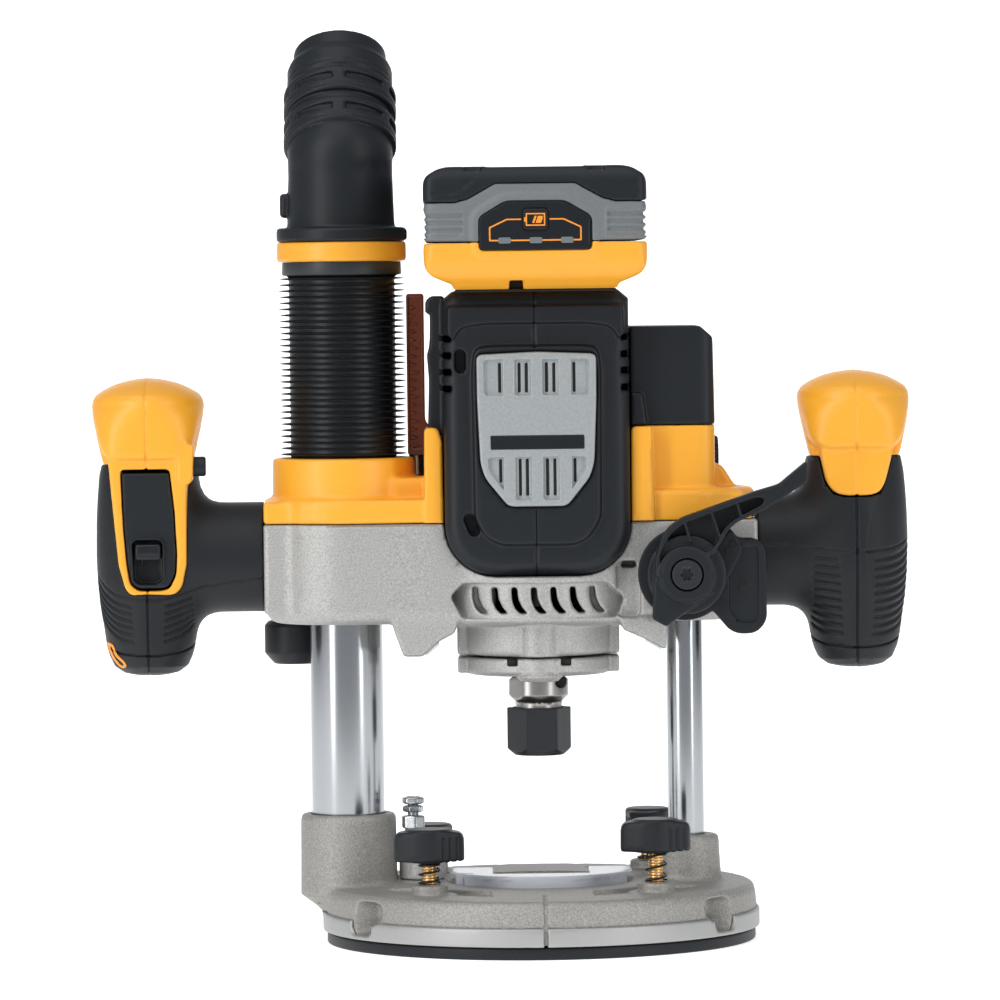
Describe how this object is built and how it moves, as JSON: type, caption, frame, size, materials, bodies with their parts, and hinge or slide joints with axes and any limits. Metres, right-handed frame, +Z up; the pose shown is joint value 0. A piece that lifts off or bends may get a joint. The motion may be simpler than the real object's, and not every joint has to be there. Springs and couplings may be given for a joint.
{
  "type": "plunge router",
  "caption": "Cordless plunge router: motor carriage with side handles and trigger, sliding on columns over a round base, with dust column, plunge lock, depth turret and battery.",
  "frame": {"origin": "bottom centre of the whole object's box, on the sole of the base", "axes": "+Z up along the columns and the spindle, +X to the right seen from the trigger side (-Y), +Y towards the user"},
  "size_m": [0.3228, 0.1728, 0.3612],
  "materials": {
    "cast_aluminium": "shot-blasted die-cast aluminium, satin",
    "black_plastic": "fine-textured black glass-filled nylon",
    "yellow_plastic": "yellow-orange moulded plastic, satin",
    "grey_plastic": "mid-grey moulded plastic, satin",
    "pale_grey": "pale grey moulded plate",
    "polished_steel": "ground and hard-chromed steel",
    "bright_steel": "turned bright steel",
    "black_steel": "blackened steel",
    "spring_steel": "oiled spring steel wire",
    "brass": "turned brass",
    "bellows_rubber": "matt black rubber",
    "amber": "translucent amber plastic",
    "clear_plastic": "clear polycarbonate",
    "copper": "enamelled copper winding on laminations",
    "circuit": "potted circuit board",
    "cells": "wrapped lithium cells"
  },
  "bodies": {
    "base": {"base_casting": "cast_aluminium", "sub_base": "black_plastic", "dust_shroud": "clear_plastic", "dust_column": "polished_steel", "guide_column": "polished_steel", "clamp_spring_front_left": "spring_steel", "clamp_spring_front_right": "spring_steel", "clamp_spring_rear_left": "spring_steel", "clamp_spring_rear_right": "spring_steel", "bellows": "bellows_rubber", "bellows_collar": "yellow_plastic"},
    "carriage": {"carriage_casting": "cast_aluminium", "bearing_cover": "cast_aluminium", "column_bush": "brass", "dust_column_cover": "yellow_plastic", "guide_column_cover": "yellow_plastic", "spring_housing": "black_plastic", "plunge_spring": "spring_steel", "led_lens_left": "clear_plastic", "led_lens_right": "clear_plastic", "depth_scale": "amber", "motor_housing_left": "black_plastic", "motor_housing_right": "black_plastic", "badge_plate": "pale_grey", "stator": "copper", "bearing_lower": "bright_steel", "bearing_upper": "bright_steel", "controller_board": "circuit", "terminal_block": "black_plastic", "lock_plate": "black_plastic", "handle_left": "black_plastic", "handle_cap_left": "yellow_plastic", "handle_right": "black_plastic", "handle_cap_right": "yellow_plastic"},
    "clamp_knob_front_left": {"clamp_knob_front_left": "black_plastic"},
    "clamp_knob_front_right": {"clamp_knob_front_right": "black_plastic"},
    "clamp_knob_rear_left": {"clamp_knob_rear_left": "black_plastic"},
    "clamp_knob_rear_right": {"clamp_knob_rear_right": "black_plastic"},
    "turret": {"stop_turret": "cast_aluminium", "stop_bolt": "bright_steel"},
    "dust_adaptor": {"dust_adaptor": "black_plastic"},
    "spindle": {"spindle": "bright_steel", "rotor": "black_steel", "fan": "black_plastic", "collet": "bright_steel"},
    "collet_nut": {"collet_nut": "black_steel"},
    "spindle_lock_button": {"spindle_lock_button": "black_plastic"},
    "speed_dial": {"speed_dial": "black_plastic"},
    "depth_rod": {"depth_rod": "bright_steel"},
    "depth_clamp_knob": {"depth_clamp_knob": "black_plastic"},
    "fine_adjust_knob": {"fine_adjust_knob": "black_plastic"},
    "lock_lever": {"lock_lever": "black_plastic"},
    "trigger": {"trigger": "black_plastic"},
    "trigger_slider": {"trigger_slider": "black_plastic"},
    "lock_off_button": {"lock_off_button": "black_plastic"},
    "battery": {"battery_lower_case": "yellow_plastic", "battery_upper_case": "grey_plastic", "battery_cells": "cells"},
    "gauge_button": {"gauge_button": "black_plastic"},
    "battery_latch": {"battery_latch": "black_plastic"}
  },
  "joints": [
    {"name": "plunge", "type": "slide", "parent": "base", "child": "carriage", "axis": [0, 0, -1], "range_m": [0, 0.055], "stiffness_N_per_m": 900, "springref_m": -0.11, "deforming": ["bellows", "plunge_spring"]},
    {"name": "adaptor_swivel", "type": "hinge", "parent": "base", "child": "dust_adaptor", "pos_m": [-0.06215, 0, 0.279], "axis": [0, 0, 1], "continuous": true},
    {"name": "clamp_turn_front_left", "type": "hinge", "parent": "base", "child": "clamp_knob_front_left", "pos_m": [-0.03025, -0.05, 0.04], "axis": [0, 0, 1], "continuous": true},
    {"name": "clamp_turn_front_right", "type": "hinge", "parent": "base", "child": "clamp_knob_front_right", "pos_m": [0.05775, -0.05, 0.04], "axis": [0, 0, 1], "continuous": true},
    {"name": "clamp_turn_rear_left", "type": "hinge", "parent": "base", "child": "clamp_knob_rear_left", "pos_m": [-0.03025, 0.05, 0.04], "axis": [0, 0, 1], "continuous": true},
    {"name": "clamp_turn_rear_right", "type": "hinge", "parent": "base", "child": "clamp_knob_rear_right", "pos_m": [0.05775, 0.05, 0.04], "axis": [0, 0, 1], "continuous": true},
    {"name": "turret_turn", "type": "hinge", "parent": "base", "child": "turret", "pos_m": [-0.03305, 0, 0.028], "axis": [0, 0, 1], "continuous": true},
    {"name": "spindle_spin", "type": "hinge", "parent": "carriage", "child": "spindle", "pos_m": [0.01375, 0, 0.12], "axis": [0, 0, 1], "continuous": true},
    {"name": "nut_turn", "type": "hinge", "parent": "spindle", "child": "collet_nut", "pos_m": [0.01375, 0, 0.083], "axis": [0, 0, 1], "continuous": true},
    {"name": "spindle_lock", "type": "slide", "parent": "carriage", "child": "spindle_lock_button", "axis": [0, -1, 0], "range_m": [0, 0.003], "stiffness_N_per_m": 800, "springref_m": -0.003},
    {"name": "speed_turn", "type": "hinge", "parent": "carriage", "child": "speed_dial", "pos_m": [0.08175, 0.014, 0.1898], "axis": [1, 0, 0], "range_deg": [0, 270]},
    {"name": "depth_set", "type": "slide", "parent": "carriage", "child": "depth_rod", "axis": [0, 0, 1], "range_m": [0, 0.045]},
    {"name": "depth_clamp_turn", "type": "hinge", "parent": "carriage", "child": "depth_clamp_knob", "pos_m": [-0.03345, 0.038, 0.146], "axis": [0, 1, 0], "continuous": true},
    {"name": "fine_adjust_turn", "type": "hinge", "parent": "carriage", "child": "fine_adjust_knob", "pos_m": [-0.08275, 0.024, 0.118], "axis": [0, 0, 1], "continuous": true},
    {"name": "plunge_lock", "type": "hinge", "parent": "carriage", "child": "lock_lever", "pos_m": [0.07135, -0.04, 0.1456], "axis": [0, 1, 0], "range_deg": [0, 30]},
    {"name": "trigger_pull", "type": "hinge", "parent": "carriage", "child": "trigger", "pos_m": [-0.14025, -0.016, 0.183], "axis": [1, 0, 0], "range_deg": [0, 7], "stiffness_Nm_per_rad": 0.6, "springref_deg": -8.59},
    {"name": "trigger_lock", "type": "slide", "parent": "trigger", "child": "trigger_slider", "axis": [0, 0, -1], "range_m": [0, 0.007]},
    {"name": "lock_off", "type": "slide", "parent": "carriage", "child": "lock_off_button", "axis": [-1, 0, 0], "range_m": [0, 0.0035], "stiffness_N_per_m": 400, "springref_m": -0.002},
    {"name": "battery_slide", "type": "slide", "parent": "carriage", "child": "battery", "axis": [0, -1, 0], "range_m": [0, 0.06]},
    {"name": "gauge_press", "type": "slide", "parent": "battery", "child": "gauge_button", "axis": [0, 1, 0], "range_m": [0, 0.0008], "stiffness_N_per_m": 600, "springref_m": -0.001},
    {"name": "latch_press", "type": "slide", "parent": "battery", "child": "battery_latch", "axis": [0, -1, 0], "range_m": [0, 0.002], "stiffness_N_per_m": 500, "springref_m": -0.002}
  ]
}
